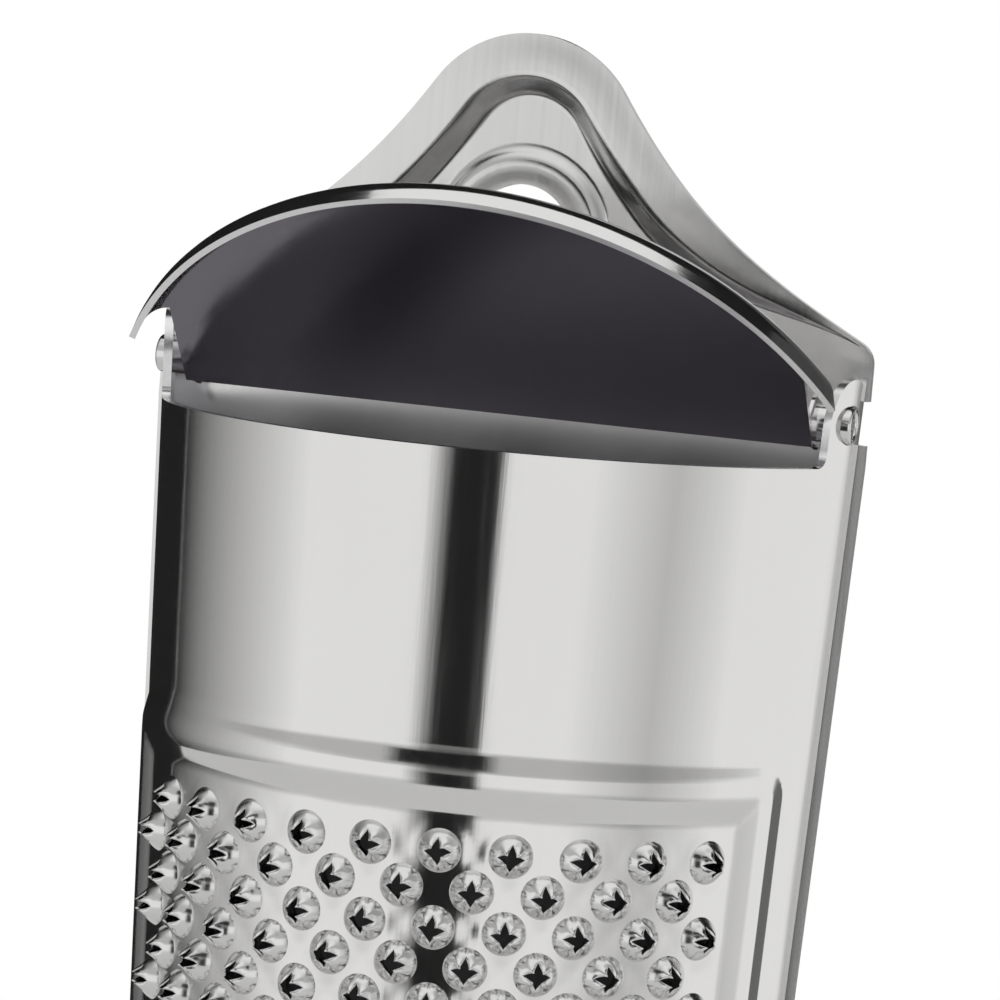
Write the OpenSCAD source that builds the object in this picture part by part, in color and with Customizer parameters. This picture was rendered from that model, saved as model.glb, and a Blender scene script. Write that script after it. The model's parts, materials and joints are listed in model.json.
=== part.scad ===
// Nutmeg grater with a lidded store: tapered half-round shell, flat back plate with a hanger,
// partition, hinged lid and two hinge rivets. All sizes in millimetres.
// The bottom rim lies on z = 0, the middle of the back plate on y = 0, the toothed front faces -Y.

/* [Shell] */
// height of the shell from the bottom rim to the top edge
body_h = 130; // [90:1:180]
// outer radius of the half-round shell at its top edge
shell_r_top = 25.2; // [18:0.1:35]
// outer radius of the half-round shell at its bottom rim
shell_r_bottom = 20.2; // [14:0.1:34]
// how far the axis of the half-round lies behind the middle of the back plate
axis_back = 4.4; // [0:0.1:8]
// thickness of the shell sheet
shell_t = 0.6; // [0.4:0.05:1.2]

/* [Ears and hinge] */
// hinge line above the top edge of the shell
hinge_up = 2.9; // [2:0.1:6]
// hinge line in front of the middle of the back plate
hinge_front = 2; // [1.8:0.1:6]
// radius of the rounded ears round the hinge line
ear_r = 2.5; // [2:0.1:4]
// radius of the hinge holes in the ears
ear_hole_r = 1.35; // [0.8:0.05:1.8]
// radial clearance of the rivets in the ears
hinge_clearance = 0.05; // [0.02:0.01:0.1]
// how far the rivet ends stand out of the ears
rivet_proud = 0.45; // [0.2:0.05:1.5]
// radius of the flat rivet head inside the lid
rivet_head_r = 1.38; // [1.35:0.01:3]
// thickness of the flat rivet head
rivet_head_t = 0.4; // [0.2:0.05:1]
// wall of the hollow rivet end
rivet_wall = 0.4; // [0.2:0.05:0.8]
// depth of the hollow rivet end
rivet_hollow = 1.6; // [0.5:0.1:2.5]

/* [Grating panel] */
// top of the raised frame below the top edge of the shell
frame_drop = 20.2; // [15:0.1:40]
// width of the raised frame
frame_w = 3.9; // [2:0.1:8]
// height of the raised frame over the sheet
frame_rise = 0.4; // [0.2:0.05:1]
// half angle of the outer side of the frame round the shell
frame_angle = 69; // [50:0.5:75]
// rows of teeth
tooth_rows = 35; // [4:1:40]
// teeth in each row
tooth_columns = 10; // [4:1:12]
// height step from row to row
row_step = 2.58; // [2:0.01:5]
// angle between neighbouring teeth of a row
column_step = 11.2; // [8:0.1:20]
// gap between the frame and the nearest row of teeth
tooth_margin = 2.4; // [0.5:0.1:4]
// share of the tooth step by which every other row is shifted to each side
row_shift = 0.25; // [0:0.05:0.5]
// radius of a tooth at its foot
tooth_foot_r = 1.45; // [0.8:0.05:2]
// radius of a tooth at its cutting crown
tooth_crown_r = 0.75; // [0.5:0.05:1.5]
// height of a tooth over the sheet
tooth_h = 1.3; // [0.5:0.05:2]
// depth of a tooth's foot in the sheet
tooth_sink = 0.3; // [0.1:0.05:0.5]
// half diagonal of the pierced hole in a tooth
pierce_r = 0.6; // [0.3:0.05:1.4]

/* [Back plate] */
// thickness of the back plate
plate_t = 0.7; // [0.5:0.05:1.5]
// how far the plate stands out past the shell at each side
plate_margin = 0.3; // [0:0.05:2]
// lower end of the notch for an ear, over the top edge of the shell
notch_low = 1.5; // [0.5:0.1:4]
// upper end of the notch for an ear, over the hinge line
notch_up = 1.6; // [1.4:0.1:6]
// depth of the notch for an ear, from the side of the shell
notch_in = 3.2; // [0.5:0.1:5]
// how far the hanger's shoulder stands out past the ear
shoulder_out = 0.4; // [0:0.05:1]
// height of the hanger over the hinge line
hanger_h = 24.3; // [18:0.1:40]
// height of the hanger's shoulders over the hinge line
shoulder_up = 4.8; // [3:0.1:8]
// radius of the hanger top
hanger_top_r = 8; // [6:0.1:12]
// width of the raised rim of the hanger
hanger_rim_w = 3.6; // [2:0.1:5]
// rise of the hanger rim in front of the plate
hanger_rim_rise = 1.2; // [0.3:0.05:2]
// radius of the hanging hole
hole_r = 3.4; // [2:0.1:5]
// hanging hole over the hinge line
hole_up = 10.4; // [8:0.1:16]
// outer radius of the raised ring round the hanging hole
ring_r = 6.1; // [4:0.1:7]
// rise of the ring in front of the plate
ring_rise = 0.6; // [0.2:0.05:1.5]

/* [Store] */
// depth of the store below the top edge of the shell
store_depth = 18.4; // [12:0.1:40]
// thickness of the partition sheet
floor_t = 0.6; // [0.4:0.05:1.5]
// height of the turned-down rim of the partition
floor_rim_h = 3; // [1:0.1:6]
// clearance of the partition in the shell
floor_gap = 0.06; // [0.02:0.01:0.3]

/* [Lid] */
// thickness of the lid sheet
lid_t = 0.45; // [0.3:0.05:1]
// outer radius of the lid skirt, which closes over the shell
lid_r = 26.7; // [26:0.1:36]
// height of the lid skirt
lid_skirt_h = 2.2; // [1.5:0.1:4]
// gap between the closed lid and the top edge of the shell
lid_gap = 0.8; // [0.1:0.05:2]
// overhang of the lid behind the hinge line
lid_back = 0.3; // [0:0.1:2]
// half width of the lid between the ears
lid_neck = 22.3; // [15:0.1:30]
// radius round the hinge line that is cut out of the lid at the ears
lid_notch_r = 6.1; // [3.5:0.1:8]
// radius of the lugs that carry the rivets
lug_r = 2; // [1.5:0.1:3]
// angle of the lid as drawn, from closed
lid_open = 48; // [0:1:94]

/* [Hidden] */
$fn = 96;
steel = [0.78, 0.79, 0.80];
taper = (shell_r_top - shell_r_bottom) / body_h;
slope = atan(taper);
plate_front = -plate_t / 2;
hinge_z = body_h + hinge_up;
hinge_y = -hinge_front;
ear_top = hinge_z + ear_r;
frame_top = body_h - frame_drop;
first_row = frame_top - frame_w - tooth_margin;
last_row = first_row - (tooth_rows - 1) * row_step;
frame_bottom = last_row - tooth_margin - frame_w;
frame_side = frame_w / shell_r_top * 180 / PI;
floor_top = body_h - store_depth;
rivet_r = ear_hole_r - hinge_clearance;
lid_top = body_h + lid_gap + lid_t;
lid_low = lid_top - lid_skirt_h;
top_mid = [0, hinge_z + hanger_h - hanger_top_r];
top_start = 34;
flank_out = 16;
flank_up = 8;
neck_out = 11.6;
neck_up = 11.6;
foot = [shell_half(hinge_z), hinge_z + shoulder_up];
flank = [flank_out, hinge_z + flank_up];
neck = [neck_out, hinge_z + neck_up];
foot_inset = [1.9, 0.35];
flank_inset = [0.8, 0.8];
neck_inset = [0.85, 0.55];
flank_steps = 14;
top_step = 4;
ear_inner = 10;
ear_outer = 40;
overlap = 0.1;
far = 200;
tiny = 0.02;
cut = 1;
round_fn = 180;
tooth_fn = 24;

// outer radius of the shell at height z
function shell_r(z) = shell_r_bottom + taper * z;
// half width of the shell where it meets the back plate at height z
function shell_half(z) = sqrt(pow(shell_r(z), 2) - pow(axis_back - plate_front, 2));
// point on a cubic curve
function curve(a, b, c, d, t) =
    pow(1 - t, 3) * a + 3 * pow(1 - t, 2) * t * b + 3 * (1 - t) * t * t * c + t * t * t * d;
// point on the round top of the hanger, moved in by w
function top_point(w, a) = top_mid + (hanger_top_r - w) * [cos(a), sin(a)];
// right half of the hanger outline, from the shoulder to the top, moved in by w
function hanger_side(w) = concat(
    [for (i = [0 : flank_steps]) curve(foot - w * foot_inset, flank - w * flank_inset,
        neck - w * neck_inset, top_point(w, top_start), i / flank_steps)],
    [for (a = [top_start + top_step : top_step : 90]) top_point(w, a)]);
// the same points on the left side, in the opposite order
function mirrored(points) = [for (i = [len(points) - 1 : -1 : 0]) [-points[i][0], points[i][1]]];

// keeps what lies in front of the back plate
module in_front(gap = 0) {
    intersection() {
        children();
        translate([-far, plate_front - gap - far, -far])
            cube([2 * far, far, 2 * far]);
    }
}

// conical layer round the shell axis, between heights and angles from the front
module layer(z0, z1, inner, outer, half_angle) {
    translate([0, axis_back, 0])
        rotate([0, 0, -90 - half_angle])
            rotate_extrude(angle = 2 * half_angle, $fn = round_fn)
                polygon([[shell_r(z0) + inner, z0], [shell_r(z0) + outer, z0],
                         [shell_r(z1) + outer, z1], [shell_r(z1) + inner, z1]]);
}

// puts its children on every tooth place, with Z pointing out of the sheet
module on_teeth() {
    for (row = [0 : tooth_rows - 1])
        for (column = [0 : tooth_columns - 1]) {
            shift = row % 2 == 0 ? row_shift : -row_shift;
            angle = (column - (tooth_columns - 1) / 2 + shift) * column_step;
            z = first_row - row * row_step;
            translate([0, axis_back, z])
                rotate([0, 0, angle - 90])
                    translate([shell_r(z), 0, 0])
                        rotate([0, 90 + slope, 0])
                            children();
        }
}

// outline of an ear in the Y-Z plane, drawn out along X
module ear_block(x0, x1) {
    translate([x0, hinge_y, hinge_z])
        rotate([90, 0, 90])
            linear_extrude(x1 - x0) {
                circle(ear_r);
                translate([-ear_r, -hinge_up - ear_r])
                    square([3 * ear_r, hinge_up + ear_r]);
            }
}

// everything over the top edge of the shell but the ears
module above_edge() {
    difference() {
        translate([-far, -far, body_h])
            cube([2 * far, 2 * far, far]);
        ear_block(ear_inner, ear_outer);
        ear_block(-ear_outer, -ear_inner);
    }
}

module grater_shell() {
    color(steel)
        difference() {
            union() {
                in_front()
                    difference() {
                        layer(0, ear_top + cut, -shell_t, 0, 90);
                        above_edge();
                    }
                difference() {
                    layer(frame_bottom, frame_top, -overlap, frame_rise, frame_angle);
                    layer(frame_bottom + frame_w, frame_top - frame_w, -2 * overlap, 2 * frame_rise,
                          frame_angle - frame_side);
                }
            }
            on_teeth()
                translate([0, 0, -2 * tooth_h])
                    cylinder(h = 4 * tooth_h, r = pierce_r, $fn = 4);
            translate([-far, hinge_y, hinge_z])
                rotate([0, 90, 0])
                    cylinder(h = 2 * far, r = ear_hole_r);
        }
}

module grating_teeth() {
    color(steel)
        on_teeth()
            difference() {
                translate([0, 0, -tooth_sink])
                    cylinder(h = tooth_h + tooth_sink, r1 = tooth_foot_r, r2 = tooth_crown_r,
                             $fn = tooth_fn);
                translate([0, 0, -2 * tooth_h])
                    cylinder(h = 4 * tooth_h, r = pierce_r, $fn = 4);
            }
}

module back_plate() {
    low = [[-shell_half(0) - plate_margin, 0], [shell_half(0) + plate_margin, 0],
           [shell_half(body_h) + plate_margin, body_h + notch_low],
           [shell_half(body_h) - notch_in, body_h + notch_low],
           [shell_half(body_h) - notch_in, hinge_z + notch_up],
           [shell_half(hinge_z) + shoulder_out, hinge_z + notch_up]];
    low_left = [for (i = [len(low) - 1 : -1 : 2]) [-low[i][0], low[i][1]]];
    color(steel)
        translate([0, plate_t / 2, 0])
            rotate([90, 0, 0])
                difference() {
                    union() {
                        linear_extrude(plate_t)
                            polygon(concat(low, hanger_side(0), mirrored(hanger_side(0)), low_left));
                        difference() {
                            linear_extrude(plate_t + hanger_rim_rise)
                                polygon(concat(hanger_side(0), mirrored(hanger_side(0))));
                            translate([0, 0, plate_t])
                                linear_extrude(hanger_rim_rise + cut)
                                    polygon(concat(hanger_side(hanger_rim_w),
                                                   mirrored(hanger_side(hanger_rim_w))));
                        }
                        translate([0, hinge_z + hole_up, 0])
                            cylinder(h = plate_t + ring_rise, r = ring_r);
                    }
                    translate([0, hinge_z + hole_up, -cut])
                        cylinder(h = plate_t + ring_rise + 2 * cut, r = hole_r);
                }
}

module compartment_floor() {
    color(steel)
        in_front(floor_gap)
            union() {
                translate([0, axis_back, floor_top - floor_t])
                    cylinder(h = floor_t, r = shell_r(floor_top - floor_t) - shell_t - floor_gap);
                layer(floor_top - floor_rim_h, floor_top - floor_t / 2,
                      -shell_t - floor_gap - floor_t, -shell_t - floor_gap, 90);
            }
}

// turns its children about the hinge line by the drawn opening of the lid
module lid_turned() {
    translate([0, hinge_y, hinge_z])
        rotate([-lid_open, 0, 0])
            translate([0, -hinge_y, -hinge_z])
                children();
}

// cylinder along X on the hinge line
module hinge_rod(x0, x1, r) {
    translate([x0, hinge_y, hinge_z])
        rotate([0, 90, 0])
            cylinder(h = x1 - x0, r = r);
}

module lug(side) {
    x0 = side > 0 ? lid_neck - lid_t : -lid_neck;
    difference() {
        union() {
            hinge_rod(x0, x0 + lid_t, lug_r);
            translate([x0, hinge_y - lug_r, lid_top - lid_t])
                cube([lid_t, lug_r + lid_back, hinge_z - lid_top + lid_t]);
        }
        hinge_rod(-far, far, rivet_r - tiny / 2);
    }
}

module lid() {
    color(steel)
        lid_turned()
            union() {
                difference() {
                    translate([0, axis_back, lid_low])
                        cylinder(h = lid_skirt_h, r = lid_r, $fn = round_fn);
                    translate([0, axis_back, lid_low - cut])
                        cylinder(h = lid_skirt_h + cut - lid_t, r = lid_r - lid_t, $fn = round_fn);
                    translate([-far, hinge_y + lid_back, lid_low - far])
                        cube([2 * far, far, 2 * far]);
                    for (side = [0, 1])
                        mirror([side, 0, 0])
                            union() {
                                hinge_rod(lid_neck, far, lid_notch_r);
                                translate([lid_neck, hinge_y, lid_low - far])
                                    cube([far, far, 2 * far]);
                            }
                }
                lug(1);
                lug(-1);
            }
}

module hinge_rivet(side) {
    inside = lid_neck - lid_t;
    outside = sqrt(pow(shell_r(hinge_z), 2) - pow(axis_back - hinge_y, 2)) + rivet_proud;
    lid_turned()
        mirror([side > 0 ? 0 : 1, 0, 0])
            difference() {
                union() {
                    hinge_rod(inside - rivet_head_t, inside, rivet_head_r);
                    hinge_rod(inside - tiny, outside, rivet_r);
                }
                hinge_rod(outside - rivet_hollow, outside + cut, rivet_r - rivet_wall);
            }
}

module hinge_rivet_left() {
    color(steel)
        hinge_rivet(-1);
}

module hinge_rivet_right() {
    color(steel)
        hinge_rivet(1);
}

grater_shell();
grating_teeth();
back_plate();
compartment_floor();
lid();
hinge_rivet_left();
hinge_rivet_right();
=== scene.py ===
"""Stainless nutmeg grater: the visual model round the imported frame, its studio and its camera."""
import json
import logging
import math
import random
from dataclasses import dataclass, field
from enum import Enum, IntEnum
from typing import Any, Callable, Iterable, Sequence

import bmesh
import bpy
from mathutils import Matrix, Vector


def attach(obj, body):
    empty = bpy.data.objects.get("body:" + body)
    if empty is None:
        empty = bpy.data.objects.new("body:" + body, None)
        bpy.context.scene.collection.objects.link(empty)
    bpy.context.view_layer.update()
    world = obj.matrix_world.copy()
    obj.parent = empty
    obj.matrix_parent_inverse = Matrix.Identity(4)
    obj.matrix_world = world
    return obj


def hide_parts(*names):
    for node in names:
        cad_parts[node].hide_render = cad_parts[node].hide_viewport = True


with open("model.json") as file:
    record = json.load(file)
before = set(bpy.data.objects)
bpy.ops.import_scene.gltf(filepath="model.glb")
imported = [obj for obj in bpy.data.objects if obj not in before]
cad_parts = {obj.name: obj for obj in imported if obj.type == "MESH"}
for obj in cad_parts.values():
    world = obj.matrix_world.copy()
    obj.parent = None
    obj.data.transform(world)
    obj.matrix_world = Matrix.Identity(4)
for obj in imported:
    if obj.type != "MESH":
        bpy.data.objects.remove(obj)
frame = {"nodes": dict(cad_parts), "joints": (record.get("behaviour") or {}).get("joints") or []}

MM = 0.001
WELD = 0.002
CREASE_ANGLE = 38.0
NOISE_MEAN = 0.5
BLACK = (0.01, 0.01, 0.01, 1.0)
WHITE = (1.0, 1.0, 1.0, 1.0)
LOG = logging.getLogger("grater")
Triple = tuple[float, float, float]


class Body(Enum):
    """The moving bodies of the frame."""

    GRATER = "body"
    LID = "lid_body"


class Slot(Enum):
    """Material slots of the record."""

    SHELL = "shell_steel"
    PLATE = "plate_steel"
    LID = "lid_steel"
    RIVET = "rivet_steel"


class Side(Enum):
    """The two sides of the grater, as signs along X."""

    LEFT = -1
    RIGHT = 1


class Layer(IntEnum):
    """Material numbers on the faces of a sheet."""

    FRONT = 0
    RIM = 1
    BEHIND = 2
    # Inner faces below the store, dressed in a dark copy of the steel: painted shade.
    CHAMBER = 3


class Sight(Enum):
    """What sees a sheet of the studio."""

    ALL = "all"
    METAL = "metal"


def ramp(value: float, low: float, high: float) -> float:
    """Straight ramp from 0 at low to 1 at high."""
    return min(max((value - low) / (high - low), 0.0), 1.0)


def smooth(value: float, low: float, high: float) -> float:
    """Smooth step from 0 at low to 1 at high."""
    t = ramp(value, low, high)
    return t * t * (3.0 - 2.0 * t)


def mixed(first: float, second: float, t: float) -> float:
    """Value a share t of the way from first to second."""
    return first + (second - first) * t


def spread(first: float, last: float, count: int) -> list[float]:
    """Evenly spaced values with both ends, two or more."""
    return [mixed(first, last, i / (count - 1)) for i in range(count)]


class Wire:
    """A shader value whose arithmetic adds Math nodes."""

    def __init__(self, graph: "ShaderGraph", socket: bpy.types.NodeSocket) -> None:
        """Wraps one output socket of a graph."""
        self.graph = graph
        self.socket = socket

    def _math(self, operation: str, first: Any, second: Any) -> "Wire":
        """Adds one Math node for two values and returns its result."""
        return self.graph.node("ShaderNodeMath", {"operation": operation}, {0: first, 1: second})

    def __add__(self, other: Any) -> "Wire":
        """Sum."""
        return self._math("ADD", self, other)

    def __radd__(self, other: Any) -> "Wire":
        """Sum with a number on the left."""
        return self._math("ADD", other, self)

    def __sub__(self, other: Any) -> "Wire":
        """Difference."""
        return self._math("SUBTRACT", self, other)

    def __rsub__(self, other: Any) -> "Wire":
        """Difference from a number."""
        return self._math("SUBTRACT", other, self)

    def __mul__(self, other: Any) -> "Wire":
        """Product."""
        return self._math("MULTIPLY", self, other)

    def __rmul__(self, other: Any) -> "Wire":
        """Product with a number on the left."""
        return self._math("MULTIPLY", other, self)


class ShaderGraph:
    """Node tree of a material or of the world, written as expressions."""

    def __init__(self, tree: bpy.types.NodeTree) -> None:
        """Empties the tree and keeps it."""
        self.tree = tree
        self.tree.nodes.clear()

    def node(
        self, kind: str, settings: dict[str, Any], inputs: dict[Any, Any], output: Any = 0
    ) -> Wire:
        """Adds any node.

        Args:
            kind: Blender's name of the node type.
            settings: properties that are set first; "stops" fills a colour ramp.
            inputs: values or wires by socket name or number.
            output: which output the wire carries.

        Returns:
            A wire from that output, or from nothing on a node without outputs.
        """
        made = self.tree.nodes.new(kind)
        for name, value in settings.items():
            if name == "stops":
                self._fill_ramp(made, value)
            else:
                setattr(made, name, value)
        for key, value in inputs.items():
            if isinstance(value, Wire):
                self.tree.links.new(value.socket, made.inputs[key])
            else:
                made.inputs[key].default_value = value
        return Wire(self, made.outputs[output] if made.outputs else None)

    @staticmethod
    def _fill_ramp(ramp_node: bpy.types.Node, stops: Sequence[tuple[float, float]]) -> None:
        """Puts grey stops on a colour ramp.

        Args:
            ramp_node: the ramp.
            stops: each a place and a level, in order.
        """
        elements = ramp_node.color_ramp.elements
        while len(elements) < len(stops):
            elements.new(1.0)
        for element, (place, level) in zip(elements, stops):
            element.position = place
            element.color = (level, level, level, 1.0)

    def noise(self, place: Wire, scale: Triple, detail: float) -> Wire:
        """Noise stretched along the axes.

        Args:
            place: the coordinates.
            scale: repeats per metre along X, Y and Z.
            detail: octaves.

        Returns:
            The noise value, about 0.5 in the mean.
        """
        stretched = self.node("ShaderNodeMapping", {}, {"Vector": place, "Scale": scale})
        return self.node(
            "ShaderNodeTexNoise", {}, {"Vector": stretched, "Scale": 1.0, "Detail": detail}
        )

    def away(self, start: float, end: float) -> Wire:
        """Smooth blend by the distance from the grater's upright axis.

        Args:
            start: metres at which the blend is 0.
            end: metres at which the blend is 1.

        Returns:
            The blend.
        """
        place = self.node("ShaderNodeTexCoord", {}, {}, "Object")
        flat = self.node(
            "ShaderNodeVectorMath",
            {"operation": "MULTIPLY"},
            {0: place, 1: (1.0, 1.0, 0.0)},
            "Vector",
        )
        distance = self.node("ShaderNodeVectorMath", {"operation": "LENGTH"}, {0: flat}, "Value")
        return self.node(
            "ShaderNodeMapRange",
            {"interpolation_type": "SMOOTHSTEP"},
            {"Value": distance, "From Min": start, "From Max": end},
        )

    def matt(self, colour: tuple[float, ...], roughness: float) -> Wire:
        """Shader of a plain surface that is not metal."""
        return self.node(
            "ShaderNodeBsdfPrincipled", {}, {"Base Color": colour, "Roughness": roughness}
        )

    def blend(self, share: Wire, first: Wire, second: Wire) -> Wire:
        """Shader that goes from first to second as the share rises."""
        return self.node("ShaderNodeMixShader", {}, {0: share, 1: first, 2: second})

    def surface(self, shader: Wire) -> None:
        """Makes a shader the surface of the material."""
        self.node("ShaderNodeOutputMaterial", {}, {"Surface": shader})


def new_material(name: str) -> tuple[bpy.types.Material, ShaderGraph]:
    """Makes a material with an empty graph.

    Args:
        name: name of the material.

    Returns:
        The material and its graph.
    """
    made = bpy.data.materials.new(name)
    made.use_nodes = True
    return made, ShaderGraph(made.node_tree)


@dataclass(frozen=True)
class SteelFinish:
    """A stainless finish: its tint, its gloss and the grain that rolling or polishing left.

    Scales are repeats per metre along X, Y and Z.
    """

    name: str
    tint: Triple
    roughness: float
    # Fine lines or mottle, in colour, gloss and relief.
    grain: float
    grain_scale: Triple
    grain_detail: float = 3.0
    grain_gloss: float = 2.0
    bump: float = 0.02
    bump_depth: float = 0.0001
    # Broad cloudy patches.
    haze: float = 0.05
    haze_scale: Triple = (70.0, 70.0, 45.0)
    haze_detail: float = 4.0
    haze_colour: float = 4.0
    # The darker tint, and its share where grain and haze are at their mean.
    dim: float = 0.82
    dim_share: float = 0.25

    def material(self) -> bpy.types.Material:
        """Makes the procedural material.

        Returns:
            A metal whose gloss, colour and surface vary with the grain and the haze.
        """
        made, graph = new_material(self.name)
        place = graph.node("ShaderNodeTexCoord", {}, {}, "Object")
        grain = graph.noise(place, self.grain_scale, self.grain_detail)
        haze = graph.noise(place, self.haze_scale, self.haze_detail)
        dark = tuple(c * self.dim for c in self.tint)
        lines = grain - NOISE_MEAN
        cloud = haze - NOISE_MEAN
        shade = cloud * (self.haze_colour * self.haze) + lines * self.grain
        colour = graph.node(
            "ShaderNodeMix",
            {"data_type": "RGBA", "clamp_factor": True},
            {"Factor": shade + self.dim_share, "A": (*self.tint, 1.0), "B": (*dark, 1.0)},
            "Result",
        )
        gloss = lines * (self.grain_gloss * self.grain) + cloud * self.haze + self.roughness
        relief = graph.node(
            "ShaderNodeBump",
            {},
            {"Strength": self.bump, "Distance": self.bump_depth, "Height": grain},
        )
        shader = graph.node(
            "ShaderNodeBsdfPrincipled",
            {},
            {"Base Color": colour, "Metallic": 1.0, "Roughness": gloss, "Normal": relief},
        )
        graph.surface(shader)
        return made


@dataclass(frozen=True)
class Finishes:
    """The finishes of the grater, made once and shared; the inner ones carry painted light and
    shade.
    """

    shell: bpy.types.Material
    cut: bpy.types.Material
    inside: bpy.types.Material
    chamber: bpy.types.Material
    teeth: bpy.types.Material
    plate: bpy.types.Material
    lid: bpy.types.Material
    lid_inside_shade: bpy.types.Material
    rivet: bpy.types.Material

    @classmethod
    def make(cls) -> "Finishes":
        """Makes every material.

        Returns:
            The materials by the part that they dress.
        """
        bright = (0.74, 0.737, 0.73)
        drawn = (2600.0, 2600.0, 30.0)
        across = (60.0, 2600.0, 2600.0)
        blank = (2200.0, 2200.0, 2200.0)
        dark = (0.2, 0.188, 0.208)
        steels = {
            "shell": SteelFinish("satin_shell_steel", (0.74, 0.735, 0.725), 0.10, 0.05, drawn),
            "cut": SteelFinish("bright_cut_edge", (0.82, 0.82, 0.82), 0.22, 0.06, blank),
            # Lighter, lavender copy of the steel for the inner faces above the store and for the
            # partition: painted light.
            "inside": SteelFinish("painted_light_inner_steel", (0.84, 0.83, 0.86), 0.3, 0.08, drawn),
            # Dark copy of the steel for the inner faces below the store: painted shade of the
            # enclosed chamber.
            "chamber": SteelFinish("painted_shade_chamber_steel", (0.2, 0.195, 0.2), 0.4, 0.08, drawn),
            "teeth": SteelFinish("punched_tooth_steel", bright, 0.17, 0.04, blank),
            "plate": SteelFinish("polished_plate_steel", (0.69, 0.687, 0.68), 0.19, 0.05, drawn),
            "lid": SteelFinish("polished_lid_steel", bright, 0.10, 0.04, across),
            # Dark copy of the lid steel for its underside: painted shade and painted reflection of
            # the dark store below.
            "lid_inside_shade": SteelFinish("painted_shade_lid_steel", dark, 0.16, 0.02, across, bump=0.01),
            "rivet": SteelFinish("bright_rivet_steel", bright, 0.14, 0.05, blank),
        }
        return cls(**{part: steel.material() for part, steel in steels.items()})


@dataclass
class MeshDraft:
    """Points in millimetres and faces, collected before they become an object."""

    points: list[Vector] = field(default_factory=list)
    faces: list[tuple[int, ...]] = field(default_factory=list)

    def loop(self, points: Iterable[Vector]) -> list[int]:
        """Adds a row of points.

        Args:
            points: the points in order.

        Returns:
            Their numbers.
        """
        start = len(self.points)
        self.points.extend(points)
        return list(range(start, len(self.points)))

    def bridge(self, first: Sequence[int], second: Sequence[int], closed: bool = False) -> None:
        """Joins two rows of the same length with four-sided faces.

        Args:
            first: numbers of one row.
            second: numbers of the other row.
            closed: whether the rows run round.
        """
        count = len(first)
        for i in range(count if closed else count - 1):
            j = (i + 1) % count
            self.faces.append((first[i], first[j], second[j], second[i]))

    def rows(self, rows: Sequence[Sequence[Vector]], closed: bool = False) -> list[list[int]]:
        """Adds rows of points and joins each to the next.

        Args:
            rows: rows of the same length.
            closed: whether each row runs round.

        Returns:
            The point numbers of every row.
        """
        loops = [self.loop(row) for row in rows]
        for first, second in zip(loops, loops[1:]):
            self.bridge(first, second, closed)
        return loops

    def fan(self, hub: int, row: Sequence[int]) -> None:
        """Joins a row to one point with three-sided faces."""
        for first, second in zip(row, row[1:]):
            self.faces.append((hub, first, second))

    def build(
        self,
        name: str,
        outward: Callable[[Vector], Vector] | None = None,
        turn: Matrix | None = None,
    ) -> bpy.types.Object:
        """Makes a smooth-shaded object, in metres.

        Args:
            name: name of the piece.
            outward: direction that faces should look in at a point, in millimetres.
            turn: a last transform, in millimetres.

        Returns:
            The linked object.
        """
        mesh = bpy.data.meshes.new(name)
        mesh.from_pydata([tuple(p) for p in self.points], [], self.faces)
        work = bmesh.new()
        work.from_mesh(mesh)
        bmesh.ops.remove_doubles(work, verts=work.verts, dist=WELD)
        bmesh.ops.recalc_face_normals(work, faces=work.faces)
        if outward is not None:
            side = sum(
                face.normal.dot(outward(face.calc_center_median())) * face.calc_area()
                for face in work.faces
            )
            if side < 0:
                bmesh.ops.reverse_faces(work, faces=work.faces)
        if turn is not None:
            bmesh.ops.transform(work, matrix=turn, verts=work.verts)
        bmesh.ops.scale(work, vec=(MM, MM, MM), verts=work.verts)
        work.to_mesh(mesh)
        work.free()
        mesh.shade_smooth()
        made = bpy.data.objects.new(name, mesh)
        bpy.context.scene.collection.objects.link(made)
        return made


def crease(piece: bpy.types.Object) -> None:
    """Keeps the cut edges of a piece crisp in the shading."""
    piece.data.shade_smooth()
    piece.data.set_sharp_from_angle(angle=math.radians(CREASE_ANGLE))


def thicken(piece: bpy.types.Object, thickness: float) -> None:
    """Gives a curved sheet its thickness behind its face.

    Args:
        piece: the sheet, with materials for its front, rim and back.
        thickness: in millimetres.
    """
    solid = piece.modifiers.new("sheet", "SOLIDIFY")
    solid.thickness = thickness * MM
    solid.offset = -1.0
    solid.use_even_offset = False
    solid.use_quality_normals = True
    solid.material_offset_rim = Layer.RIM
    solid.material_offset = Layer.BEHIND
    settled = piece.evaluated_get(bpy.context.evaluated_depsgraph_get())
    mesh = bpy.data.meshes.new_from_object(settled)
    piece.modifiers.clear()
    piece.data = mesh
    crease(piece)


def press(piece: bpy.types.Object, thickness: float) -> None:
    """Gives a pressed flat sheet its thickness straight back.

    Args:
        piece: the sheet, facing the front, with materials for its front, rim and back.
        thickness: in millimetres.
    """
    work = bmesh.new()
    work.from_mesh(piece.data)
    front = list(work.faces)
    made = bmesh.ops.extrude_face_region(work, geom=front, use_keep_orig=True)["geom"]
    bmesh.ops.translate(
        work,
        vec=(0.0, thickness * MM, 0.0),
        verts=[part for part in made if isinstance(part, bmesh.types.BMVert)],
    )
    behind = {part for part in made if isinstance(part, bmesh.types.BMFace)}
    for face in set(work.faces) - set(front):
        face.material_index = Layer.BEHIND if face in behind else Layer.RIM
    bmesh.ops.recalc_face_normals(work, faces=work.faces)
    work.to_mesh(piece.data)
    work.free()
    crease(piece)


def dress(piece: bpy.types.Object, *materials: bpy.types.Material) -> None:
    """Gives a piece its materials in order."""
    for material in materials:
        piece.data.materials.append(material)


def tie(piece: bpy.types.Object, body: Body, node: str) -> None:
    """Ties a piece to the frame.

    Args:
        piece: the piece.
        body: the body that it rides on.
        node: the node that it stands for.
    """
    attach(piece, body.value)
    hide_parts(node)
    LOG.info("%s: %d points on %s", piece.name, len(piece.data.vertices), body.value)


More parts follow.
